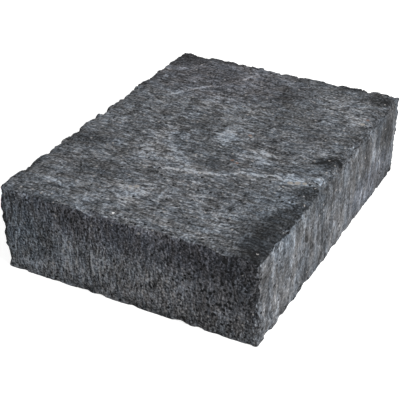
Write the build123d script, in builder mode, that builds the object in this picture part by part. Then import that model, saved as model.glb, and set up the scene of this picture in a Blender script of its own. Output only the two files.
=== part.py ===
"""Wall coping block: one dry-cast concrete block with tumbled, chipped arrises.

The block lies on its bed face. +X runs along the wall, +Y across it and +Z up, and the origin is the
centre of the bed face. Lengths are in millimetres and angles in degrees.
"""

import math
import os
import random
from collections import defaultdict

from build123d import *

# Driving dimensions of the block. The upright arrises are rubbed rounder than those of the top and the bed.
LENGTH = 400.0
DEPTH = 300.0
HEIGHT = 100.0
ARRIS_RADIUS = 2.5
CORNER_RADIUS = 4.0

# A chip is a shallow round hollow knocked out of an arris. Its depth is measured from the sharp arris, and
# its radius is that of the hollow, so a larger radius makes a longer, flatter chip.
CHIP_RADII = (9.0, 16.0, 30.0)
TOP_CHIP_SPACING = 24.0
TOP_CHIP_DEPTHS = (1.8, 3.2)
CORNER_CHIP_SPACING = 22.0
CORNER_CHIP_DEPTHS = (2.4, 3.6)
BED_CHIP_SPACING = 36.0
BED_CHIP_DEPTHS = (1.8, 2.8)

# How unevenly the chips fall: the stray along the arris is a share of the spacing, and the lean turns a chip
# from the middle of the arris towards one face or the other.
CHIP_STRAY = 0.34
CHIP_LEAN = 24.0
CHIP_SEED = 11

# Larger breaks on the arrises of the top: a hollow that runs into the top from the front arris, a flake that
# runs down the left end, a wide break and a narrow notch in the back arris, and a wide break in that of the
# right end. Each place is measured from the middle of its arris.
FRONT_BREAK_PLACE = -6.0
FRONT_BREAK_RADIUS = 17.0
FRONT_BREAK_DEPTH = 6.0
FRONT_BREAK_LEAN = 66.0
LEFT_FLAKE_PLACE = -41.0
LEFT_FLAKE_RADIUS = 19.0
LEFT_FLAKE_DEPTH = 4.6
LEFT_FLAKE_LEAN = 28.0
BACK_BREAK_PLACE = 0.0
BACK_BREAK_RADIUS = 13.0
BACK_BREAK_DEPTH = 5.8
BACK_NOTCH_PLACE = -56.0
BACK_NOTCH_RADIUS = 7.0
BACK_NOTCH_DEPTH = 5.6
RIGHT_BREAK_PLACE = -62.0
RIGHT_BREAK_RADIUS = 18.0
RIGHT_BREAK_DEPTH = 5.8

# Larger breaks on the upright arrises: a spall at the foot of the back left one, at a height above the bed,
# and a bite out of the front right one, at a place above its middle.
SPALL_HEIGHT = 12.0
SPALL_RADIUS = 32.0
SPALL_DEPTH = 6.6
BITE_PLACE = 13.0
BITE_RADIUS = 14.0
BITE_DEPTH = 4.8

# Larger breaks on the front arris of the bed, at insets from the left corner.
FOOT_BREAK_INSET = 25.0
FOOT_BREAK_RADIUS = 10.0
FOOT_BREAK_DEPTH = 4.6
FOOT_NOTCH_INSET = 52.0
FOOT_NOTCH_RADIUS = 5.5
FOOT_NOTCH_DEPTH = 4.2

LEFT, RIGHT = -LENGTH / 2, LENGTH / 2
FRONT, BACK = -DEPTH / 2, DEPTH / 2
BED, MIDDLE, TOP = 0.0, HEIGHT / 2, HEIGHT
BLOCK_CENTRE = Vector(0, 0, MIDDLE)
HALF_SIZES = {Axis.X: LENGTH / 2, Axis.Y: DEPTH / 2, Axis.Z: HEIGHT / 2}
MID_LEAN = 45.0


def outward_normals(point):
    """Normals of the two faces of the block that meet at a point of an arris."""
    normals = []
    for axis, half in HALF_SIZES.items():
        offset = (point - BLOCK_CENTRE).dot(axis.direction)
        if math.isclose(abs(offset), half):
            normals.append(axis.direction * math.copysign(1, offset))
    return normals


def hollow_out(point, radius, depth, lean=MID_LEAN):
    """File the ball that leaves a hollow of this depth at a point of an arris under its radius."""
    first, second = outward_normals(point)
    outward = first * math.cos(math.radians(lean)) + second * math.sin(math.radians(lean))
    balls[radius].append(point + outward * (radius - depth))


def chip_along(arrises, spacing, depths):
    """Spread chips along each arris, unevenly."""
    for arris in arrises:
        count = max(1, round(arris.length / spacing))
        for station in range(count):
            place = (station + 0.5 + chance.uniform(-CHIP_STRAY, CHIP_STRAY)) / count
            radius = chance.choice(CHIP_RADII)
            lean = MID_LEAN + chance.uniform(-CHIP_LEAN, CHIP_LEAN)
            hollow_out(arris @ place, radius, chance.uniform(*depths), lean)


def middle(arris):
    """Where an arris lies, as a key that puts arrises in one fixed order."""
    return tuple(round(value, 3) for value in arris.center())


chance = random.Random(CHIP_SEED)
balls = defaultdict(list)

with BuildPart() as coping_block:
    with BuildSketch():
        Rectangle(LENGTH, DEPTH)
    extrude(amount=HEIGHT)

    arrises = coping_block.edges().sort_by(middle)
    corner_arrises = arrises.filter_by(Axis.Z).sort_by(middle)
    chip_along(arrises.group_by(Axis.Z)[-1].sort_by(middle), TOP_CHIP_SPACING, TOP_CHIP_DEPTHS)
    chip_along(corner_arrises, CORNER_CHIP_SPACING, CORNER_CHIP_DEPTHS)
    chip_along(arrises.group_by(Axis.Z)[0].sort_by(middle), BED_CHIP_SPACING, BED_CHIP_DEPTHS)

    front_break = Vector(FRONT_BREAK_PLACE, FRONT, TOP)
    left_flake = Vector(LEFT, LEFT_FLAKE_PLACE, TOP)
    hollow_out(front_break, FRONT_BREAK_RADIUS, FRONT_BREAK_DEPTH, FRONT_BREAK_LEAN)
    hollow_out(left_flake, LEFT_FLAKE_RADIUS, LEFT_FLAKE_DEPTH, LEFT_FLAKE_LEAN)
    hollow_out(Vector(BACK_BREAK_PLACE, BACK, TOP), BACK_BREAK_RADIUS, BACK_BREAK_DEPTH)
    hollow_out(Vector(BACK_NOTCH_PLACE, BACK, TOP), BACK_NOTCH_RADIUS, BACK_NOTCH_DEPTH)
    hollow_out(Vector(RIGHT, RIGHT_BREAK_PLACE, TOP), RIGHT_BREAK_RADIUS, RIGHT_BREAK_DEPTH)
    hollow_out(Vector(LEFT, BACK, BED + SPALL_HEIGHT), SPALL_RADIUS, SPALL_DEPTH)
    hollow_out(Vector(RIGHT, FRONT, MIDDLE + BITE_PLACE), BITE_RADIUS, BITE_DEPTH)
    hollow_out(Vector(LEFT + FOOT_BREAK_INSET, FRONT, BED), FOOT_BREAK_RADIUS, FOOT_BREAK_DEPTH)
    hollow_out(Vector(LEFT + FOOT_NOTCH_INSET, FRONT, BED), FOOT_NOTCH_RADIUS, FOOT_NOTCH_DEPTH)

    fillet(corner_arrises, radius=CORNER_RADIUS)
    fillet(coping_block.faces().filter_by(Axis.Z).edges(), radius=ARRIS_RADIUS)
    for radius, centres in balls.items():
        with Locations(*centres):
            Sphere(radius, mode=Mode.SUBTRACT)

coping_block.part.label = "coping_block"
os.makedirs("parts", exist_ok=True)
export_step(coping_block.part, "parts/coping_block.step")
print("faces", len(coping_block.faces()), "volume", coping_block.part.volume)
print("size", coping_block.part.bounding_box().size)
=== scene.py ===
# %% [markdown]
# # A tumbled concrete coping block
# A coping block caps a garden wall. It is pressed from a stiff, dark concrete and then tumbled, which knocks
# its arrises about until it looks like old quarried stone. The solid model already has the block's size and
# its larger chips, so this script only dresses it: it lays a fine skin over the solid, wears that skin, and
# gives it the colours of charcoal concrete with lime bloom.

# %% Load the solid as a fixed frame
import math
import random

import bmesh
import bpy
import numpy as np
from mathutils import Euler, Matrix, Vector, noise
from mathutils.bvhtree import BVHTree


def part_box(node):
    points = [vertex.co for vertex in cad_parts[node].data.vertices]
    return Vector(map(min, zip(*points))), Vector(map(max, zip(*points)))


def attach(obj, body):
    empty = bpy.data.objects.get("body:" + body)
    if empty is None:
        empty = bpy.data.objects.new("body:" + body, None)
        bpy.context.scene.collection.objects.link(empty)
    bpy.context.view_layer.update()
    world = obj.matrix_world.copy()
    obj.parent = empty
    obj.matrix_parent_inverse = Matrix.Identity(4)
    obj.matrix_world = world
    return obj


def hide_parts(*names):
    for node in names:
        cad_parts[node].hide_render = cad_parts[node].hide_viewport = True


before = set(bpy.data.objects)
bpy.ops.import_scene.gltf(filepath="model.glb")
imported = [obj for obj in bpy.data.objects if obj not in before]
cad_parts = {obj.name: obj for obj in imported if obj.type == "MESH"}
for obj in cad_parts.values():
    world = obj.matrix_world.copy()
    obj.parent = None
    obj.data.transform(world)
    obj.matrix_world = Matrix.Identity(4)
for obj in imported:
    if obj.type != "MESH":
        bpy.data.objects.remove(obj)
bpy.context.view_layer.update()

SOLID_NODE = "coping_block"
MM = 0.001
low, high = (Vector(corner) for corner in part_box(SOLID_NODE))
print("solid from", tuple(low), "to", tuple(high))

# %% [markdown]
# ## The camera
# The picture looks down on one corner of the block through a long lens, which keeps the arrises nearly
# parallel. A camera can be dragged into place by eye, but angles are easier to keep: the place is worked out
# from a turn around the block, a height above it and a distance, and the camera then looks along that line.

# %% A camera from angles and a distance
scene = bpy.context.scene
CAMERA_TURN = math.radians(-62.07)
CAMERA_HEIGHT = math.radians(31.32)
CAMERA_DISTANCE = 1.108
CAMERA_LENS = 91.0
SENSOR_WIDTH = 36.0
CAMERA_AIM = Vector((-0.0546, -0.0097, 0.05))

camera_data = bpy.data.cameras.new("picture_camera")
camera_data.lens = CAMERA_LENS
camera_data.sensor_width = SENSOR_WIDTH
camera = bpy.data.objects.new("picture_camera", camera_data)
scene.collection.objects.link(camera)
camera.rotation_euler = Euler((math.pi / 2 - CAMERA_HEIGHT, 0, CAMERA_TURN))
line_of_sight = camera.rotation_euler.to_matrix() @ Vector((0, 0, 1))
camera.location = CAMERA_AIM + line_of_sight * CAMERA_DISTANCE
scene.camera = camera
scene.view_settings.view_transform = "Standard"
print("camera at", tuple(round(value, 3) for value in camera.location))

# %% [markdown]
# ## Small helpers for materials
# A procedural material is a chain of nodes. A few helpers keep such chains readable: they add a node with a
# title, join a value or another node's output to an input, work out a value, make a mask that rises between
# two limits, and mix two colours or vectors.

# %% Helpers that add and join nodes
NODE_STEP = 220

def add_node(tree, kind, title, **settings):
    """Add a node of this kind, set its properties and line it up after the nodes already there."""
    made = tree.nodes.new(kind)
    made.label = title
    made.location = (NODE_STEP * len(tree.nodes), 0)
    for name, value in settings.items():
        setattr(made, name, value)
    return made

def feed(tree, socket, value):
    """Join another node's output to an input, or write a plain value on it."""
    if isinstance(value, bpy.types.NodeSocket):
        tree.links.new(value, socket)
    else:
        socket.default_value = value

def worked_out(tree, title, operation, *values):
    """The output of a Math node that works on these values."""
    made = add_node(tree, "ShaderNodeMath", title, operation=operation)
    for socket, value in zip(made.inputs, values):
        feed(tree, socket, value)
    return made.outputs["Value"]

def step_between(tree, title, value, start, end):
    """A mask that rises smoothly from 0 at start to 1 at end."""
    made = add_node(tree, "ShaderNodeMapRange", title, interpolation_type="SMOOTHSTEP")
    feed(tree, made.inputs["Value"], value)
    feed(tree, made.inputs["From Min"], start)
    feed(tree, made.inputs["From Max"], end)
    return made.outputs["Result"]

def mixed(tree, title, share, first, second, blend="MIX", data_type="RGBA"):
    """A colour between two colours or, with the data type VECTOR, a vector between two vectors."""
    made = add_node(tree, "ShaderNodeMix", title, data_type=data_type, blend_type=blend)
    feed(tree, made.inputs["Factor"], share)
    feed(tree, made.inputs["A"], first)
    feed(tree, made.inputs["B"], second)
    return made.outputs["Result"]

print("node helpers ready")

# %% [markdown]
# ## The floor and the light
# A block is photographed on a white sweep: a floor so pale that only a soft shadow shows. The floor here is
# a plain diffuse grey. Some light of its own is added for the rays that come straight from the camera, so it
# looks white without throwing more light on the block.

# %% A pale floor that keeps the shadow
FLOOR_HALF = 6.0
FLOOR_GREY = (0.48, 0.48, 0.48, 1.0)
FLOOR_GLOW = 0.86

def seen_directly(tree):
    """1 for rays that come from the camera, straight or by a mirror or through glass, and 0 for the rest."""
    path = add_node(tree, "ShaderNodeLightPath", "kind of ray")
    mirrored = worked_out(tree, "camera or mirror", "MAXIMUM",
                          path.outputs["Is Camera Ray"], path.outputs["Is Glossy Ray"])
    return worked_out(tree, "or glass", "MAXIMUM", mirrored, path.outputs["Is Transmission Ray"])

floor_mesh = bpy.data.meshes.new("floor")
sheet = bmesh.new()
bmesh.ops.create_grid(sheet, x_segments=1, y_segments=1, size=FLOOR_HALF)
bmesh.ops.translate(sheet, verts=sheet.verts, vec=(0, 0, low.z))
sheet.to_mesh(floor_mesh)
sheet.free()
floor = bpy.data.objects.new("floor", floor_mesh)
scene.collection.objects.link(floor)

floor_paint = bpy.data.materials.new("white_sweep")
floor_paint.use_nodes = True
tree = floor_paint.node_tree
tree.nodes.clear()
matt = add_node(tree, "ShaderNodeBsdfDiffuse", "matt grey")
matt.inputs["Color"].default_value = FLOOR_GREY
glow = add_node(tree, "ShaderNodeEmission", "lift to white")
feed(tree, glow.inputs["Strength"], worked_out(tree, "glow", "MULTIPLY", seen_directly(tree), FLOOR_GLOW))
both = add_node(tree, "ShaderNodeAddShader", "white with shadow")
feed(tree, both.inputs[0], matt.outputs["BSDF"])
feed(tree, both.inputs[1], glow.outputs["Emission"])
surface = add_node(tree, "ShaderNodeOutputMaterial", "surface")
feed(tree, surface.inputs["Surface"], both.outputs["Shader"])
floor_mesh.materials.append(floor_paint)
print("floor", 2 * FLOOR_HALF, "m wide")

# %% [markdown]
# The long face of the block is the bright one and the end face is in shade, so one large soft lamp stands on
# the long face's side, turned a little towards the end face. It only grazes that face, which brings out every
# pit there. A grey surround fills the shade.

# %% One large lamp and a grey surround
LAMP_TURN = math.radians(-14)
LAMP_HEIGHT = math.radians(38)
LAMP_DISTANCE = 2.2
LAMP_SIZE = 1.0
LAMP_POWER = 58.0
SURROUND = 0.3
SURROUND_COLOUR = (1.0, 1.0, 1.0, 1.0)

lamp_data = bpy.data.lights.new("soft_box", "AREA")
lamp_data.shape = "SQUARE"
lamp_data.size = LAMP_SIZE
lamp_data.energy = LAMP_POWER
lamp = bpy.data.objects.new("soft_box", lamp_data)
scene.collection.objects.link(lamp)
lamp.rotation_euler = Euler((math.pi / 2 - LAMP_HEIGHT, 0, LAMP_TURN))
lamp.location = lamp.rotation_euler.to_matrix() @ Vector((0, 0, LAMP_DISTANCE))

world = bpy.data.worlds.new("studio")
scene.world = world
world.use_nodes = True
tree = world.node_tree
tree.nodes.clear()
surround = add_node(tree, "ShaderNodeBackground", "surround")
surround.inputs["Color"].default_value = SURROUND_COLOUR
lift = worked_out(tree, "white for the camera", "MULTIPLY", seen_directly(tree), 1 - SURROUND)
feed(tree, surround.inputs["Strength"], worked_out(tree, "strength", "ADD", lift, SURROUND))
backdrop = add_node(tree, "ShaderNodeOutputWorld", "world")
feed(tree, backdrop.inputs["Surface"], surround.outputs["Background"])
print("lamp at", tuple(round(value, 2) for value in lamp.location))

# %% [markdown]
# ## A skin for the block
# The solid has large clean facets, too few to carry worn concrete. A voxel remesh would give even squares
# everywhere, but the arrises need smaller ones than the faces do. So a box is cut into squares of three
# millimetres, and those close to an arris are cut once more, into nine.

# %% A box cut into squares, smaller along the arrises
SQUARE = 3.0 * MM
FINE_BAND = 9.0 * MM
FINE_CUTS = 2

def inside_gaps(point):
    """How far a point lies from the nearest face of the box, the next one and the third, in that order."""
    return sorted(min(point[axis] - low[axis], high[axis] - point[axis]) for axis in range(3))

size = high - low
skin = bmesh.new()
to_box = Matrix.Translation((low + high) / 2) @ Matrix.Diagonal(size).to_4x4()
bmesh.ops.create_cube(skin, size=1.0, matrix=to_box)
for axis in range(3):
    along = [edge for edge in skin.edges if abs(edge.verts[0].co[axis] - edge.verts[1].co[axis]) > SQUARE]
    bmesh.ops.subdivide_edges(skin, edges=along, cuts=round(size[axis] / SQUARE) - 1)
banded = [face for face in skin.faces if inside_gaps(face.calc_center_median())[1] < FINE_BAND]
band_edges = {edge for face in banded for edge in face.edges}
bmesh.ops.subdivide_edges(skin, edges=list(band_edges), cuts=FINE_CUTS, use_grid_fill=True)
print("skin has", len(skin.faces), "faces and", len(skin.verts), "points")

# %% [markdown]
# The squares are then drawn onto the solid, as the Shrinkwrap modifier does: each corner of the grid moves
# to the nearest point of the solid, so the skin takes on every chip and break that was modelled there.

# %% Draw the skin onto the solid
SAME_POINT = 0.01 * MM
LITRES_IN_CUBIC_METRE = 1000

solid = bmesh.new()
solid.from_mesh(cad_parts[SOLID_NODE].data)
bmesh.ops.remove_doubles(solid, verts=solid.verts, dist=SAME_POINT)
print("solid has", len(solid.faces), "triangles")
solid_tree = BVHTree.FromBMesh(solid)
solid.free()

for corner in skin.verts:
    corner.co = solid_tree.find_nearest(corner.co)[0]
skin.normal_update()
print("the skin takes up", round(skin.calc_volume() * LITRES_IN_CUBIC_METRE, 2), "litres")

# %% [markdown]
# ## Wear
# Tumbling leaves rounded lumps with narrow creases between them along every arris, and breaks flakes off it.
# The top's front arris was hit hardest and has bites out of its middle. The press drags the stiff mix as the
# block leaves its mould, which leaves shallow ridges on the faces. A sculpting brush could do all this, but
# noise does it the same way in every run. Each kind of wear has a length, which is about how far apart its
# lumps lie, and a depth.

# %% How long and how deep each kind of wear is
# Swells and ridges on the faces. The bed keeps only a small share of its wear, so that the block lies flat.
SWELL_LENGTH = 40.0 * MM
SWELL_DEPTH = 0.5 * MM
RIDGE_LENGTH = 10.0 * MM
RIDGE_DEPTH = 0.45 * MM
RIDGE_STRETCH = 0.25
LEVEL_LIMIT = 0.5
BED_SHARE = 0.1

# The worn band along an arris, which is full up to its flat and ends at its reach, and the corners.
ARRIS_REACH = 13.0 * MM
ARRIS_FLAT = 3.0 * MM
ARRIS_POWER = 1.5
CORNER_REACH = 16.0 * MM
CORNER_DEPTH = 1.2 * MM

# Lumps, crumbs, flakes and grit along every arris.
LUMP_LENGTH = 22.0 * MM
LUMP_DEPTH = 1.9 * MM
CRUMB_LENGTH = 8.0 * MM
CRUMB_DEPTH = 0.7 * MM
FLAKE_LENGTH = 7.0 * MM
FLAKE_DEPTH = 2.0 * MM
GRIT_LENGTH = 3.4 * MM
GRIT_DEPTH = 0.6 * MM

# Bites out of the front arris of the top, which is spared near its two corners.
BITE_LENGTH = 14.0 * MM
BITE_DEPTH = 5.5 * MM
SPARED_LENGTH = 80.0 * MM

# The ledge at the foot of the front left corner.
LEDGE_HEIGHT = 40.0 * MM
LEDGE_FALL = 0.78
LEDGE_DEPTH = 2.6 * MM
LEDGE_STEP = 1.5 * MM
LEDGE_REACH = 80.0 * MM

# How much less or more some arrises were knocked than the rest.
KNOCK_REACH = 16.0 * MM
CALMED = 0.6
BATTERED = 1.0
print("flakes up to", round(FLAKE_DEPTH / MM, 1), "mm deep, bites up to", round(BITE_DEPTH / MM, 1), "mm")

# %% [markdown]
# A crease lies where a noise passes zero, and a bite where a noise rises above zero. Flakes are the cells
# round scattered points: each has one depth of its own, so the wear jumps from one flake to the next. Waves
# are the plain noise.

# %% Noises that shape the wear
CREASE_WIDTH = 0.38
BITE_SLOPE = 0.35
BITE_STRETCH = 0.35
FLAKE_SPREAD = 7.0
FLAKE_POWER = 1.5
WAVE_FALL = 1.0
WAVE_STEP = 2.0
WAVE_OCTAVES = 2
NOISE_SHIFT = Vector((31.7, -12.3, 7.9))

def as_share(value):
    """A noise from -1 to 1 as a share from 0 to 1."""
    return 0.5 + 0.5 * value

def creased(point, length):
    """1 in narrow creases, near 0 on the lumps between them."""
    hill = abs(noise.noise(point / length + NOISE_SHIFT))
    return max(0.0, 1 - hill / CREASE_WIDTH) ** 2

def bitten(point, length):
    """0 on the arris between bites, rising from a sharp edge to 1 in a bite, which runs across the arris."""
    across = Vector((point.x, point.y * BITE_STRETCH, point.z * BITE_STRETCH))
    return min(1.0, max(0.0, noise.noise(across / length - NOISE_SHIFT)) / BITE_SLOPE)

def flaked(point, length):
    """A depth from 0 to 1, mostly small, that is the same all over one flake and jumps at its edge."""
    middle = noise.voronoi(point / length)[1][0]
    return as_share(noise.cell(middle * FLAKE_SPREAD)) ** FLAKE_POWER

def waves(point, length):
    """Even waves of this length, from 0 to 1."""
    return as_share(noise.fractal(point / length - NOISE_SHIFT, WAVE_FALL, WAVE_STEP, WAVE_OCTAVES))

print("the flake at a corner takes", round(flaked(high, FLAKE_LENGTH), 2), "of the full depth")

# %% [markdown]
# Everything is worn inwards, so the block never outgrows its solid. A point on a face moves straight in, and
# near an arris the direction turns towards the middle of the block.

# %% How near an arris is, and which way is out
def within(gap, reach):
    """1 where there is no gap, falling to 0 at this reach."""
    return max(0.0, 1 - gap / reach)

def near_arris(gaps):
    """1 on and close beside an arris, falling to 0 inside a face."""
    gap = max(gaps[1], ARRIS_FLAT)
    return max(0.0, (ARRIS_REACH - gap) / (ARRIS_REACH - ARRIS_FLAT)) ** ARRIS_POWER

def outward(point):
    """Straight out of a face, turning smoothly to the outside of an arris or a corner."""
    pull = Vector()
    for axis in range(3):
        below_high = within(high[axis] - point[axis], ARRIS_REACH)
        above_low = within(point[axis] - low[axis], ARRIS_REACH)
        pull[axis] = below_high - above_low
    return pull.normalized()

def above_ledge(point):
    """0 on the foot of the front left corner, 1 just above the ledge there, falling to 0 further off."""
    from_left = point.x - low.x
    rise = point.z - (low.z + LEDGE_HEIGHT - LEDGE_FALL * from_left)
    step = min(1.0, max(0.0, rise / LEDGE_STEP))
    return step * within(max(rise, from_left), LEDGE_REACH) * within(point.y - low.y, ARRIS_REACH)

print("out of a corner is", tuple(round(value, 2) for value in outward(high)))

# %% [markdown]
# Not every arris had the same knocks. The left end's top arris and its far upright arris got off lightly, and
# the first of them is only rubbed pale. The right end's front upright arris is the roughest. The bites in the
# front arris die away towards both corners. At the foot of the front left corner a piece stayed on when the
# face above it flaked, so a ledge slants down there. Each of these is a share from 0 to 1 that falls off with
# the distance from the arris, and the kinds of wear are weighed with the shares and added.

# %% Wear every point of the skin
top_share = skin.verts.layers.float.new("top_share")
end_share = skin.verts.layers.float.new("end_share")
rubbed_share = skin.verts.layers.float.new("rubbed")
worn_places = []
deepest = 0.0
for corner in skin.verts:
    point = corner.co
    facing = corner.normal
    gaps = inside_gaps(point)
    on_arris = near_arris(gaps)
    from_left = point.x - low.x
    from_right = high.x - point.x
    from_front = point.y - low.y
    from_back = high.y - point.y
    from_top = high.z - point.z
    calm = within(max(from_left, min(from_top, from_back)), KNOCK_REACH)
    spared = within(min(from_left, from_right), SPARED_LENGTH)
    hard = within(max(from_front, from_top), KNOCK_REACH) * (1 - spared) ** 2
    battered = within(max(from_front, from_right), KNOCK_REACH) * (1 - within(from_top, KNOCK_REACH))
    rubbed = within(max(from_left, from_top), KNOCK_REACH) * from_front / size.y
    worn = on_arris * (1 - CALMED * calm + BATTERED * battered)
    level_share = facing.z ** 2
    if level_share > LEVEL_LIMIT:
        along_drag = Vector((point.x, point.y * RIDGE_STRETCH, point.z))
    else:
        along_drag = Vector((point.x, point.y, point.z * RIDGE_STRETCH))
    depth = SWELL_DEPTH * waves(point, SWELL_LENGTH) + RIDGE_DEPTH * waves(along_drag, RIDGE_LENGTH)
    depth += CORNER_DEPTH * within(gaps[2], CORNER_REACH) ** 2
    depth += LEDGE_DEPTH * above_ledge(point)
    depth += on_arris * hard * BITE_DEPTH * bitten(point, BITE_LENGTH)
    depth += worn * LUMP_DEPTH * creased(point, LUMP_LENGTH)
    depth += worn * CRUMB_DEPTH * creased(point, CRUMB_LENGTH)
    depth += worn * FLAKE_DEPTH * flaked(point, FLAKE_LENGTH)
    depth += worn * GRIT_DEPTH * waves(point, GRIT_LENGTH)
    if facing.z < 0:
        depth *= 1 - (1 - BED_SHARE) * level_share
    corner[top_share] = level_share
    corner[end_share] = facing.x ** 2
    corner[rubbed_share] = on_arris * rubbed
    worn_places.append(point - outward(point) * depth)
    deepest = max(deepest, depth)
for corner, worn_place in zip(skin.verts, worn_places):
    corner.co = Vector(min(max(worn_place[axis], low[axis]), high[axis]) for axis in range(3))
print("worn", len(worn_places), "points, at most", round(deepest / MM, 1), "mm deep")

# %% [markdown]
# Three arrises meet at a corner, and wear from three sides pushes the small squares there into each other. A
# knocked corner is blunt, so its squares are simply smoothed a few times: each point moves towards the middle
# of its neighbours, which opens every fold. The few sharp folds elsewhere are smoothed with them.

# %% Blunt the eight corners and open the folds
BLUNT_REACH = 7.0 * MM
BLUNT_TURNS = 6
BLUNT_SHARE = 0.5
FOLDED = math.radians(110)

skin.normal_update()
folds = [edge for edge in skin.edges if edge.calc_face_angle() > FOLDED]
blunted = {corner for edge in folds for corner in edge.verts}
blunted |= {corner for corner in skin.verts if inside_gaps(corner.co)[2] < BLUNT_REACH}
for turn in range(BLUNT_TURNS):
    bmesh.ops.smooth_vert(skin, verts=list(blunted), factor=BLUNT_SHARE,
                          use_axis_x=True, use_axis_y=True, use_axis_z=True)
skin.normal_update()
print("blunted", len(blunted), "points, at the corners and at", len(folds), "folds")

# %% [markdown]
# ## Where the bloom, the stains, the painted shade and the pits lie
# Lime washes out of concrete as it cures and dries on it as pale bloom, damp and dirt leave dark stains, and
# where the mix was too dry to close it is full of pits. Some dark patches are painted shade, in whole or in
# part:
# the shade in the hollows along the top's front arris and at the top's back right corner is painted into the
# colour with the stains. All of these lie in patches. They could be painted by hand, but a painting can't be
# run again, so each patch is written down once: its place on a face, its reach along the face and its
# strength.
# Every point of the skin keeps what the patches give it, and the material later breaks their soft edges up
# with noise.

# %% Patches on the three faces that the picture shows, in millimetres
PATCH_DEPTH = 10.0
left, front, bed = low / MM
right, back, top = high / MM

def on_top(x, y, reach_x, reach_y, strength):
    """A patch on the top: its middle, its reach, its strength and the way that its face points."""
    return (x, y, top), (reach_x, reach_y, PATCH_DEPTH), strength, (0, 0, 1)

def on_left_end(y, z, reach_y, reach_z, strength):
    """A patch on the left end, in the same form."""
    return (left, y, z), (PATCH_DEPTH, reach_y, reach_z), strength, (-1, 0, 0)

def on_front(x, z, reach_x, reach_z, strength):
    """A patch on the front, in the same form."""
    return (x, front, z), (reach_x, PATCH_DEPTH, reach_z), strength, (0, -1, 0)

bloom_patches = [
    on_top(-144, 22, 36, 26, 1.0),
    on_top(-58, 37, 34, 32, 1.1),
    on_top(14, -18, 30, 28, 0.5),
    on_top(-20, -60, 30, 30, 0.65),
    on_top(103, 77, 24, 22, 0.2),
    on_top(84, 18, 28, 54, 0.4),
    on_top(112, -131, 14, 15, 1.8),
    on_top(154, -88, 26, 40, 0.35),
    on_top(-46, -112, 14, 20, 0.5),
    on_top(-35, -140, 11, 13, 0.8),
    on_top(-24, 58, 40, 18, 0.6),
    on_top(40, 42, 90, 22, 0.4),
    on_top(0, -12, 26, 20, 0.4),
    on_top(-160, 108, 20, 18, 0.5),
    on_top(-160, 86, 18, 24, 0.3),
    on_top(-124, -54, 34, 24, 0.3),
    on_top(147, 137, 22, 30, 0.35),
    on_left_end(35, 40, 28, 36, 0.4),
    on_left_end(67, 52, 16, 36, 0.4),
    on_left_end(133, 46, 14, 16, 0.25),
    on_left_end(85, 16, 48, 30, 0.65),
    on_left_end(-50, 42, 16, 20, 0.4),
    on_left_end(-68, 42, 16, 20, 0.45),
    on_left_end(-110, 30, 22, 22, 0.4),
    on_front(-156, 26, 52, 40, 0.36),
    on_front(-136, 68, 26, 24, 0.25),
    on_front(12, 78, 18, 26, 0.45),
    on_front(110, 58, 14, 28, 0.5),
    on_front(12, 24, 24, 18, 0.5),
    on_front(78, 22, 36, 16, 0.3),
    on_front(138, 32, 30, 16, 0.3),
    on_front(-34, 8, 30, 22, 0.5),
]
stain_and_shade_patches = [
    # These three are partly painted shade, the shadowed wall of a hollow behind the raised front arris near
    # the front corner, and partly a dark stain.
    on_top(-156, -150, 96, 66, 0.55),
    on_top(-148, -154, 74, 40, 0.8),
    on_top(-116, -152, 44, 26, 0.6),
    # Partly painted shade and partly stain: this one darkens the hollow of the break in the top's front
    # arris.
    on_top(3, -132, 20, 18, 0.75),
    on_top(-63, -138, 20, 20, 0.8),
    on_top(84, -152, 150, 30, 0.5),
    on_top(-67, 125, 26, 36, 0.6),
    on_top(-124, 77, 32, 44, 0.42),
    # Painted shade: this one darkens the shadowed hollow at the top's back right corner.
    on_top(187, 137, 38, 38, 0.8),
    on_top(177, -130, 22, 20, 0.8),
    on_top(-57, -25, 18, 28, 0.5),
    on_top(23, 22, 20, 20, 0.5),
    on_top(136, -34, 40, 34, 0.45),
    on_top(150, 66, 34, 44, 0.4),
    on_top(50, -98, 36, 28, 0.35),
    on_top(197, -84, 16, 50, 0.8),
    on_top(196, 88, 14, 44, 0.7),
    on_top(-152, 150, 36, 16, 0.8),
    on_top(-197, 90, 10, 22, 0.8),
    # This patch and the three below it that lie 78 to 88 mm up make the left end darker towards its top than
    # at its foot.
    on_left_end(57, 88, 66, 30, 0.4),
    on_left_end(-150, 34, 18, 52, 0.6),
    on_left_end(149, 50, 9, 52, 0.9),
    on_left_end(-35, 5, 60, 14, 0.4),
    on_left_end(-77, 88, 60, 32, 0.5),
    on_left_end(-134, 78, 40, 46, 0.4),
    on_left_end(-7, 80, 34, 40, 0.4),
    on_front(-24, 96, 36, 22, 0.4),
    on_front(-90, 92, 44, 20, 0.35),
    on_front(-90, 16, 18, 28, 0.45),
    on_front(34, 60, 50, 50, 0.35),
    on_front(87, 60, 18, 50, 0.5),
    on_front(150, 84, 54, 32, 0.5),
    on_front(168, 6, 52, 20, 0.5),
    on_front(160, 50, 30, 40, 0.4),
]
pitted_patches = [
    on_top(-164, -142, 60, 32, 0.7),
    on_top(184, -30, 30, 170, 0.6),
    on_top(10, 142, 200, 16, 0.5),
    on_left_end(-112, 56, 70, 72, 1.0),
    on_left_end(0, 92, 110, 22, 0.4),
    on_left_end(95, 62, 60, 54, 0.5),
    on_left_end(30, 10, 110, 24, 0.3),
    on_front(-180, 40, 16, 60, 0.4),
    on_front(60, 94, 150, 12, 0.3),
]
print(len(bloom_patches), "patches of bloom,", len(stain_and_shade_patches), "of stain and",
      len(pitted_patches), "of pits on the faces in the picture")

# %% [markdown]
# Pigment, cement and damp leave broad casts of colour as well. They are so faint that only a comparison shows
# them: blue green towards the front of the top, earthy low on the end. A cast is a patch whose strength is a
# colour, which is what it adds to red, green and blue.

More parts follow.
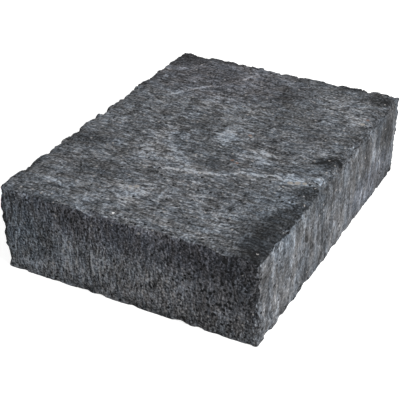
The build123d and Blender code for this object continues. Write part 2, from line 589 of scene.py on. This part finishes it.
# %% Casts of colour
TEAL = np.array((-0.045, 0.0, 0.035))
BLUE = np.array((-0.01, 0.0, 0.06))
EARTH = np.array((0.05, 0.0, -0.035))
PURPLE = np.array((0.045, 0.0, 0.02))
VIOLET = np.array((0.03, 0.0, 0.06))
cast_patches = [
    on_top(-90, -144, 120, 74, TEAL * 1.15),
    on_top(-20, -5, 50, 50, TEAL * 0.6),
    on_top(-185, 70, 40, 60, TEAL * 0.5),
    on_top(150, 70, 80, 130, PURPLE),
    on_left_end(135, 72, 60, 70, TEAL * 1.4),
    on_left_end(-60, 22, 120, 46, EARTH * 0.8),
    on_left_end(0, 96, 170, 44, VIOLET),
    on_left_end(-110, 70, 70, 60, VIOLET * 0.5),
    on_front(110, 25, 90, 34, BLUE),
    on_front(-185, 40, 40, 60, EARTH * 0.5),
    on_front(-90, 96, 130, 24, TEAL),
    on_front(20, 58, 150, 52, EARTH * 0.4),
]
print(len(cast_patches), "casts of colour")

# %% [markdown]
# The far long face, the far end and the bed aren't in the picture. They get patches of the same kinds at
# places drawn by chance, from a fixed seed so that every run gives the same block.

# %% Patches by chance on the faces that the picture doesn't show
HIDDEN_PATCHES = 9
HIDDEN_REACHES = (16, 40)
HIDDEN_STRENGTHS = (0.4, 0.8)
HIDDEN_SEED = 4
chance = random.Random(HIDDEN_SEED)

def on_hidden_face():
    """One patch at a place drawn by chance on the far long face, the far end or the bed."""
    x = chance.uniform(left, right)
    y = chance.uniform(front, back)
    z = chance.uniform(bed, top)
    reach = chance.uniform(*HIDDEN_REACHES)
    drag = chance.uniform(*HIDDEN_REACHES)
    strength = chance.uniform(*HIDDEN_STRENGTHS)
    return chance.choice((
        ((x, back, z), (reach, PATCH_DEPTH, drag), strength, (0, 1, 0)),
        ((right, y, z), (PATCH_DEPTH, reach, drag), strength, (1, 0, 0)),
        ((x, y, bed), (reach, drag, PATCH_DEPTH), strength, (0, 0, -1)),
    ))

for patches in (bloom_patches, stain_and_shade_patches, pitted_patches):
    patches.extend(on_hidden_face() for number in range(HIDDEN_PATCHES))
print(HIDDEN_PATCHES, "more patches of each kind, on the faces that the picture doesn't show")

# %% [markdown]
# A patch reaches over the round of the arris at the edge of its face, and ends before the next face starts.
# How squarely a point looks the way that the face does, which is the product of the two directions, tells the
# face and its arrises from the next face.

# %% What the patches give each point
FACE_STARTS = 0.35
FACE_FULL = 0.55

def covered(patches):
    """What the patches give each point, up to 1: most in the middle of a patch, nothing past its reach."""
    total = 0.0
    for centre, reach, strength, facing in patches:
        away = ((points - centre) / reach) ** 2
        on_face = np.clip((normals @ facing - FACE_STARTS) / (FACE_FULL - FACE_STARTS), 0, 1)
        total = total + np.multiply.outer(on_face * np.clip(1 - away.sum(axis=1), 0, None), strength)
    return np.minimum(total, 1)

points = np.array([corner.co for corner in skin.verts]) / MM
normals = np.array([corner.normal for corner in skin.verts])
bloom_share = covered(bloom_patches)
# The stain share also holds the painted shade of the hollows along the top's front arris and at its back
# right corner.
stain_and_shade_share = covered(stain_and_shade_patches)
pitted_share = covered(pitted_patches)
cast = 1 + covered(cast_patches)
print("bloom on", round(100 * (bloom_share > 0).mean()), "% of the points, stain on",
      round(100 * (stain_and_shade_share > 0).mean()), "%")

# %% [markdown]
# ## Veins and a painted shadow line
# A vein is a crack that filled with lime as the concrete set. A line whose strength is below zero is drawn
# dark instead: the one such line is painted shadow, the shadowed edge of the break in the top's front arris.
# Either is thinner than the skin's squares, so the skin doesn't hold its colour. It holds the distance to the
# nearest line, with a sign for its two sides, which stays true between the points and lets the material draw
# a line as thin as it likes. The strength fades out beside a line and past its ends, so one line never jumps
# to the next.

# %% Veins and a painted shadow line across the top: points in millimetres, each with a strength
VEINS_AND_SHADOW_LINE = (
    ((-94, 44, 0.3), (-88, 22, 0.8), (-82, 0, 0.85), (-76, -26, 0.9), (-70, -46, 0.7), (-58, -58, 0.6),
     (-53, -76, 0.8), (-48, -97, 0.6)),
    ((-8, -34, 0.2), (-8, -56, 0.5), (-9, -79, 0.3)),
    ((-57, -103, 0.3), (-54, -118, 0.5), (-47, -136, 0.3)),
    ((-42, -110, 0.3), (-35, -128, 0.5), (-27, -147, 0.3)),
    ((62, 112, 0.3), (78, 96, 0.8), (92, 88, 0.5), (108, 76, 0.9), (122, 60, 0.4)),
    ((143, 44, 0.5), (156, 37, 0.9), (172, 34, 0.2)),
    # Painted shadow: the line below, with strengths under zero, is the shadowed edge of the break in the
    # top's front arris.
    ((-6, -116, -0.6), (6, -130, -1.0), (15, -141, -0.8), (6, -146, -0.4)),
)
FAR_FROM_LINES = 30.0
LINE_FADE = 7.0

nearest_line_distance = np.full(len(points), FAR_FROM_LINES)
vein_and_shadow_strength = np.zeros(len(points))
for vein_and_shadow_line in VEINS_AND_SHADOW_LINE:
    for (*start, start_strength), (*end, end_strength) in zip(vein_and_shadow_line, vein_and_shadow_line[1:]):
        run = np.subtract(end, start)
        from_start = points[:, :2] - start
        share = np.clip(from_start @ run / (run @ run), 0, 1)
        away = from_start - share[:, None] * run
        distance = np.hypot(*away.T)
        side = np.sign(run[0] * away[:, 1] - run[1] * away[:, 0])
        closer = distance < abs(nearest_line_distance)
        nearest_line_distance[closer] = (side * distance)[closer]
        vein_and_shadow_strength[closer] = (start_strength + share * (end_strength - start_strength))[closer]
# Full up to LINE_FADE beside a line, and gone at twice that distance.
vein_and_shadow_strength *= np.clip(2 - abs(nearest_line_distance) / LINE_FADE, 0, 1)
vein_and_shadow_strength[normals[:, 2] < FACE_STARTS] = 0
print("points within a millimetre of a vein:", int((abs(nearest_line_distance) < 1).sum()))

# %% [markdown]
# The skin is finished, so it becomes an object, and what its points hold goes with it as attributes.

# %% The finished skin as an object
block_mesh = bpy.data.meshes.new("worn_block")
skin.to_mesh(block_mesh)
skin.free()
block_mesh.shade_smooth()
held = {"bloom": bloom_share, "stain_and_shade": stain_and_shade_share, "pitted": pitted_share,
        "line_offset": nearest_line_distance, "vein_and_shadow_strength": vein_and_shadow_strength}
for name, values in held.items():
    block_mesh.attributes.new(name, "FLOAT", "POINT").data.foreach_set("value", values.astype(np.float32))
cast_held = block_mesh.attributes.new("cast", "FLOAT_VECTOR", "POINT")
cast_held.data.foreach_set("vector", cast.astype(np.float32).ravel())
block = bpy.data.objects.new("worn_block", block_mesh)
scene.collection.objects.link(block)
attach(block, "root")
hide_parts(SOLID_NODE)
block_mesh.calc_loop_triangles()
print("block has", len(block_mesh.loop_triangles), "triangles")

# %% [markdown]
# ## Charcoal concrete
# The mix is crushed dark stone in charcoal cement, coloured all through, so a chip shows the same grey as the
# face beside it. Close to, it is a grain of short light and dark dashes with open pits between them. A
# photograph of concrete would be quicker, but it fits one face and one size. Noise gives a grain of any size
# on every face, so the finish is built up from noise, one effect at a time.

# %% A place on the block, in millimetres
concrete = bpy.data.materials.new("charcoal_concrete")
concrete.use_nodes = True
tree = concrete.node_tree
shader = tree.nodes["Principled BSDF"]

def attribute(name, output="Fac"):
    """What the skin holds under this name."""
    return add_node(tree, "ShaderNodeAttribute", name, attribute_name=name).outputs[output]

def vector_of(title, operation, first, second, output="Vector"):
    """The output of a Vector Math node that works on two vectors."""
    made = add_node(tree, "ShaderNodeVectorMath", title, operation=operation)
    feed(tree, made.inputs[0], first)
    feed(tree, made.inputs[1], second)
    return made.outputs[output]

def evenly(value):
    """The same value along X, Y and Z."""
    return (value, value, value)

coordinates = add_node(tree, "ShaderNodeTexCoord", "place on the block")
place = vector_of("in millimetres", "MULTIPLY", coordinates.outputs["Object"], evenly(1 / MM))
print("material", concrete.name, "reads places in millimetres")

# %% [markdown]
# Stretched noise turns from lumps into dashes. The grain of the top was dragged across the block and that of
# the sides straight down, in finer lines on the ends than on the long faces. So each kind of face has its own
# stretch, and the skin tells the material which kind it is on. A slow wobble bends the dashes first, because
# a straight stretch looks combed.

# %% The drag of the grain
WOBBLE_LENGTH = 18.0
WOBBLE_REACH = 6.0
TOP_DRAG = (0.85, 0.24, 1.0)
END_DRAG = (1.0, 1.0, 0.22)
LONG_DRAG = (0.34, 1.0, 0.11)
FACE_LIMITS = (0.35, 0.65)
NOISE_MIDDLE = 0.5
NOISE_DETAIL = 2.0
NOISE_ROUGHNESS = 0.6

def lumps(title, vector, length, detail=NOISE_DETAIL):
    """The outputs of a noise whose lumps are about this many millimetres long."""
    made = add_node(tree, "ShaderNodeTexNoise", title)
    feed(tree, made.inputs["Vector"], vector)
    made.inputs["Scale"].default_value = 1 / length
    made.inputs["Detail"].default_value = detail
    made.inputs["Roughness"].default_value = NOISE_ROUGHNESS
    return made.outputs

def cloud(title, vector, length, detail=NOISE_DETAIL):
    """Noise about zero."""
    return worked_out(tree, title, "SUBTRACT", lumps(title, vector, length, detail)["Fac"], NOISE_MIDDLE)

wobble = lumps("wobble", place, WOBBLE_LENGTH, detail=1.0)["Color"]
wobble = vector_of("about zero", "SUBTRACT", wobble, evenly(NOISE_MIDDLE))
wobble = vector_of("wobble in millimetres", "MULTIPLY", wobble, evenly(WOBBLE_REACH))
bent = vector_of("bent place", "ADD", place, wobble)
top_face = step_between(tree, "top face", attribute("top_share"), *FACE_LIMITS)
end_face = step_between(tree, "end face", attribute("end_share"), *FACE_LIMITS)
drag = LONG_DRAG
kinds_of_face = (("drag on an end", end_face, END_DRAG), ("drag on the top", top_face, TOP_DRAG))
for title, share, face_drag in kinds_of_face:
    drag = mixed(tree, title, share, drag, face_drag, data_type="VECTOR")
dragged = vector_of("dragged place", "MULTIPLY", bent, drag)
print("dashes on the top are", round(TOP_DRAG[0] / TOP_DRAG[1], 1), "times as long as they are wide")

# %% [markdown]
# One noise looks like cloud. Concrete has something at every size: grit and dashes of a few millimetres,
# mottling of a finger's width, and a broad drift of tone across a face. Each is noise about zero, and they
# are weighed and added. The weights differ from one kind of face to another: the long faces came smoothest
# out of the mould, so grit counts for least there, and the ends show the thin lines of the drag best. In the
# pitted patches the mix is smoother between one pit and the next, and under the stains and the painted shade
# kept with them the drag shows less.

# %% Grain from noises of several sizes
DASH_LENGTH = 2.8
DASH_WEIGHTS = {"long": 1.1, "end": 1.05, "top": 1.22}
GRIT_SIZE = 2.4
GRIT_WEIGHTS = {"long": 1.1, "end": 2.05, "top": 1.45}
MOTTLE_LENGTH = 7.0
MOTTLE_WEIGHT = 0.08
LIGHT_LINE_LENGTH = 6.0
DARK_LINE_LENGTH = 5.0
LINE_WIDTH = 0.05
LINE_WEIGHTS = {"long": 0.15, "end": 0.24, "top": 0.18}
CLOUDY_LENGTH = 20.0
CLOUDY_WEIGHT = 0.16
BROAD_LENGTH = 80.0
BROAD_WEIGHT = 0.5
SMOOTH_BETWEEN_PITS = 0.25
CALM_IN_STAINS_AND_SHADE = 0.5

def by_face(title, weights):
    """The weight for this kind of face, blended where two kinds meet."""
    more_on_end = weights["end"] - weights["long"]
    more_on_top = weights["top"] - weights["long"]
    weight = worked_out(tree, title, "MULTIPLY_ADD", end_face, more_on_end, weights["long"])
    return worked_out(tree, title, "MULTIPLY_ADD", top_face, more_on_top, weight)

def weighed(title, *parts):
    """The sum of values, each times its weight."""
    total = 0.0
    for value, weight in parts:
        total = worked_out(tree, title, "MULTIPLY_ADD", value, weight, total)
    return total

def thin_lines(title, length):
    """1 on thin wavy lines along the drag, where a noise passes zero."""
    from_zero = worked_out(tree, title, "ABSOLUTE", cloud(title, dragged, length, detail=1.0))
    return step_between(tree, title, from_zero, LINE_WIDTH, 0.0)

pitted = attribute("pitted")
stain_and_shade_mask = attribute("stain_and_shade")
dashes = cloud("dashes", dragged, DASH_LENGTH)
grit = cloud("grit", place, GRIT_SIZE)
mottle = cloud("mottle", place, MOTTLE_LENGTH)
cloudy = cloud("cloudy tone", place, CLOUDY_LENGTH, detail=3.0)
broad = cloud("broad tone", place, BROAD_LENGTH)
smoothed = worked_out(tree, "smooth between pits", "MULTIPLY_ADD", pitted, -SMOOTH_BETWEEN_PITS, 1.0)
# The stain mask, with the painted shade it holds, calms the drag.
calmed = worked_out(tree, "calm in stains", "MULTIPLY_ADD", stain_and_shade_mask, -CALM_IN_STAINS_AND_SHADE, 1.0)
calmed = worked_out(tree, "calm and smooth", "MULTIPLY", calmed, smoothed)
dash_weight = worked_out(tree, "weight of dashes", "MULTIPLY", by_face("dashes", DASH_WEIGHTS), calmed)
line_weight = worked_out(tree, "weight of lines", "MULTIPLY", by_face("lines", LINE_WEIGHTS), calmed)
grit_weight = worked_out(tree, "weight of grit", "MULTIPLY", by_face("grit", GRIT_WEIGHTS), smoothed)
lines = worked_out(tree, "lines", "SUBTRACT", thin_lines("light lines", LIGHT_LINE_LENGTH),
                   thin_lines("dark lines", DARK_LINE_LENGTH))
grain = weighed("grain", (dashes, dash_weight), (grit, grit_weight),
                (mottle, MOTTLE_WEIGHT), (lines, line_weight))
tone = weighed("tone", (grain, 1.0), (cloudy, CLOUDY_WEIGHT), (broad, BROAD_WEIGHT))
print("grain made of", len(tree.nodes), "nodes so far")

# %% [markdown]
# Bloom, stains and painted shade only shift the tone up or down, so the grain still shows through them. The
# patches' soft edges are broken up by smears, dashes and cloudy tone, which makes the bloom look wiped on.
# Damp soaks in more evenly, so stains, and the painted shade kept with them, get a smaller share of that. A
# vein is drawn from its distance: a soft band, and within it a thin line that comes and goes. The painted
# shadow line at the break in the front arris is drawn the same way, darker instead of paler. Where an arris
# is worn but hardly knocked, it is rubbed a little paler than the faces.

# %% Bloom, stains and painted shade, veins and a painted shadow line, and rubbed arrises
BLOOM_LIFT = 0.26
BLOOM_LIMITS = (0.1, 0.8)
STAIN_AND_SHADE_DROP = -0.40
STAIN_AND_SHADE_LIMITS = (0.0, 1.0)
BAND_LIFT = 0.10
BAND_WIDTH = 9.0
VEIN_AND_SHADOW_LIFT = 0.42
LINE_EDGE = 3.0
LINE_CORE = 1.0
LINE_BREAK_LIMITS = (-0.26, -0.08)
WIGGLE_WEIGHTS = {"cloudy": 10.0, "mottle": 7.0, "grit": 4.0}
SMEAR_LENGTH = 5.0
RAGGED_WEIGHTS = {"smears": 3.0, "cloudy": 1.2, "dashes": 1.6}
SOFTER_EDGE_SHARE = 0.4
RUBBED_LIFT = 0.06
RUBBED_LIMITS = (0.5, 1.0)

def added(title, mask, lift):
    """The tone so far, shifted where the mask is."""
    return worked_out(tree, title, "MULTIPLY_ADD", mask, lift, tone)

smears = cloud("smears", dragged, SMEAR_LENGTH)
ragged = weighed("ragged", (smears, RAGGED_WEIGHTS["smears"]), (cloudy, RAGGED_WEIGHTS["cloudy"]),
                 (dashes, RAGGED_WEIGHTS["dashes"]))
wiped = worked_out(tree, "wiped on", "ADD", ragged, 1.0)
softer_edge = worked_out(tree, "soaked in", "MULTIPLY_ADD", ragged, SOFTER_EDGE_SHARE, 1.0)
bloom = worked_out(tree, "ragged bloom", "MULTIPLY", attribute("bloom"), wiped)
tone = added("bloom", step_between(tree, "bloom from 0 to 1", bloom, *BLOOM_LIMITS), BLOOM_LIFT)
# The stain mask darkens real stains and also paints shade into the hollows along the top's front arris and at
# its back right corner.
stain_and_shade = worked_out(tree, "ragged stain", "MULTIPLY", stain_and_shade_mask, softer_edge)
tone = added("stain_and_shade", step_between(tree, "stain from 0 to 1", stain_and_shade, *STAIN_AND_SHADE_LIMITS), STAIN_AND_SHADE_DROP)

wiggle = weighed("wiggle", (cloudy, WIGGLE_WEIGHTS["cloudy"]), (mottle, WIGGLE_WEIGHTS["mottle"]),
                 (grit, WIGGLE_WEIGHTS["grit"]))
from_line = worked_out(tree, "wiggled vein", "ADD", attribute("line_offset"), wiggle)
from_line = worked_out(tree, "either side", "ABSOLUTE", from_line)
# A strength below zero draws the painted shadow line dark; the other lines are pale veins.
strength = attribute("vein_and_shadow_strength")
band = step_between(tree, "soft band", from_line, BAND_WIDTH, 0.0)
tone = added("band", worked_out(tree, "strength of band", "MULTIPLY", band, strength), BAND_LIFT)
thin_line = step_between(tree, "thin line", from_line, LINE_EDGE, LINE_CORE)
comes_and_goes = step_between(tree, "comes and goes", mottle, *LINE_BREAK_LIMITS)
thin_line = worked_out(tree, "broken line", "MULTIPLY", thin_line, comes_and_goes)
tone = added("vein_and_shadow_line", worked_out(tree, "strength of line", "MULTIPLY", thin_line, strength), VEIN_AND_SHADOW_LIFT)
rubbed_mask = step_between(tree, "rubbed arris", attribute("rubbed"), *RUBBED_LIMITS)
tone = added("rubbed", rubbed_mask, RUBBED_LIFT)
print("tone made of", len(tree.nodes), "nodes so far")

# %% [markdown]
# A colour ramp turns the tone into greys. They all lean a little towards blue, as charcoal pigment does. Over
# that lie the broad casts, and streaks and specks of warm and cool grey a few millimetres long, because no
# two grains of the mix are quite the same colour.

# %% From tone to colour
GREYS = ((0.0, 0.010), (0.25, 0.042), (0.5, 0.108), (0.75, 0.220), (1.0, 0.42))
RAMP_MIDDLE = 0.5
RED_OF_GREY = 0.945
BLUE_OF_GREY = 1.085
STREAK_LENGTH = 6.0
STREAK_WEIGHT = 0.8
SPECK_LENGTH = 3.0
SPECK_WEIGHT = 0.6
CLOUDY_HUE_WEIGHT = 0.5
HUE_LIMITS = (-0.20, 0.20)
WARM_GREY = (1.05, 1.0, 0.95, 1.0)
COOL_GREY = (0.95, 1.0, 1.05, 1.0)

def bluish(grey):
    """This grey as a colour, with a little less red and a little more blue."""
    return (grey * RED_OF_GREY, grey, grey * BLUE_OF_GREY, 1.0)

ramp_node = add_node(tree, "ShaderNodeValToRGB", "greys of the concrete")
feed(tree, ramp_node.inputs["Fac"], worked_out(tree, "middle tone", "ADD", tone, RAMP_MIDDLE))
stops = ramp_node.color_ramp.elements
while len(stops) < len(GREYS):
    stops.new(1.0)
for stop, (position, grey) in zip(stops, GREYS):
    stop.position = position
    stop.color = bluish(grey)
colour = ramp_node.outputs["Color"]

hue_streaks = cloud("hue streaks", dragged, STREAK_LENGTH)
hue_specks = cloud("hue specks", place, SPECK_LENGTH)
hue = weighed("hue", (hue_streaks, STREAK_WEIGHT), (hue_specks, SPECK_WEIGHT), (cloudy, CLOUDY_HUE_WEIGHT))
hue = mixed(tree, "warm or cool", step_between(tree, "cool share", hue, *HUE_LIMITS), WARM_GREY, COOL_GREY)
colour = mixed(tree, "warm and cool grains", 1.0, colour, hue, "MULTIPLY")
colour = mixed(tree, "broad casts", 1.0, colour, attribute("cast", "Color"), "MULTIPLY")
print("greys from", GREYS[0][1], "to", GREYS[-1][1])

# %% [markdown]
# Pits are places where the stiff mix didn't close. They are dark because light hardly gets in, so they are
# both coloured and pressed in. A Voronoi texture scatters points through space and gives the distance to the
# nearest one, so a pit is what lies within a small reach of such a point, with an edge made ragged by the
# grit. Wide pits are few and lie everywhere. Fine pits crowd the pitted patches, where their reach is larger.
# Pale grains of sand are scattered by the same means.

# %% Open pits and pale grains
PIT_GREY = 0.010
PIT_DARK = bluish(PIT_GREY)
PALE_SAND = (0.31, 0.298, 0.292, 1.0)
WIDE_PIT_SPACING = 11.0
WIDE_PIT_REACH = 1.8
FINE_PIT_SPACING = 6.4
FINE_PIT_REACH = 0.5
PITTED_REACH = 2.0
PALE_SPACING = 13.0
PALE_REACH = 1.5
SPOT_CORE = 0.7
SPOT_RAGGED = 1.6

ragged_grit = worked_out(tree, "grit in millimetres", "MULTIPLY", grit, SPOT_RAGGED)

def spots(title, distance, reach):
    """1 within this reach of a point, in millimetres, with a ragged edge."""
    distance = worked_out(tree, title, "ADD", distance, ragged_grit)
    core = worked_out(tree, title, "MULTIPLY", reach, SPOT_CORE)
    return step_between(tree, title, distance, reach, core)

def scattered(title, spacing, reach):
    """Spots round points that are scattered about this many millimetres apart."""
    points_node = add_node(tree, "ShaderNodeTexVoronoi", title)
    feed(tree, points_node.inputs["Vector"], place)
    points_node.inputs["Scale"].default_value = 1 / spacing
    return spots(title, worked_out(tree, title, "MULTIPLY", points_node.outputs["Distance"], spacing), reach)

fine_reach = worked_out(tree, "reach of a fine pit", "MULTIPLY_ADD", pitted, PITTED_REACH, FINE_PIT_REACH)
pits = worked_out(tree, "pits", "MAXIMUM", scattered("wide pits", WIDE_PIT_SPACING, WIDE_PIT_REACH),
                  scattered("fine pits", FINE_PIT_SPACING, fine_reach))
colour = mixed(tree, "pale grains", scattered("pale grains", PALE_SPACING, PALE_REACH), colour, PALE_SAND)
colour = mixed(tree, "dark pits", pits, colour, PIT_DARK)
print("pits up to", 2 * max(WIDE_PIT_REACH, FINE_PIT_REACH + PITTED_REACH), "mm wide")

# %% [markdown]
# A few grains stand out by colour: specks of rusty ore, beige sand and one white pebble. There are so few
# that each gets its own place.

# %% Grains of another colour
RUST = (0.165, 0.11, 0.092, 1.0)
BEIGE = (0.30, 0.286, 0.268, 1.0)
WHITE = (0.85, 0.85, 0.85, 1.0)
ODD_GRAINS = (
    (RUST, (-38, -40, top), 2.6),
    (RUST, (-41, -47, top), 2.2),
    (RUST, (23, -32, top), 2.4),
    (RUST, (120, -136, top), 2.6),
    (BEIGE, (-133, 22, top), 3.2),
    (BEIGE, (-136, 28, top), 2.4),
    (BEIGE, (107, -134, top), 3.4),
    (BEIGE, (-53, -114, top), 3.4),
    (BEIGE, (-50, -121, top), 3.8),
    (BEIGE, (-48, -128, top), 3.0),
    (BEIGE, (20, -35, top), 2.2),
    (WHITE, (-188, 16, top), 1.7),
    (BEIGE, (4, -142, top), 2.2),
)

for grain_colour, centre, reach in ODD_GRAINS:
    spot = spots("odd grain", vector_of("distance", "DISTANCE", place, centre, "Value"), reach)
    colour = mixed(tree, "with odd grain", spot, colour, grain_colour)
feed(tree, shader.inputs["Base Color"], colour)
print(len(ODD_GRAINS), "odd grains")

# %% [markdown]
# Last comes the relief. The wear is real geometry, but dashes, grit and pits are finer than the skin's
# squares, so a Bump node tilts the light on them instead. Dry concrete has no gloss worth speaking of.

# %% Relief and gloss
RELIEF_HEIGHT = 1.0 * MM
RELIEF_STRENGTH = 0.9
PIT_RELIEF = -0.7
DRY_ROUGHNESS = 0.92
DRY_SPECULAR = 0.15

height = worked_out(tree, "height", "MULTIPLY_ADD", pits, PIT_RELIEF, grain)
bump = add_node(tree, "ShaderNodeBump", "grain relief")
bump.inputs["Distance"].default_value = RELIEF_HEIGHT
bump.inputs["Strength"].default_value = RELIEF_STRENGTH
feed(tree, bump.inputs["Height"], height)
feed(tree, shader.inputs["Normal"], bump.outputs["Normal"])
shader.inputs["Roughness"].default_value = DRY_ROUGHNESS
shader.inputs["Specular IOR Level"].default_value = DRY_SPECULAR
block_mesh.materials.append(concrete)
print("concrete has", len(tree.nodes), "nodes")
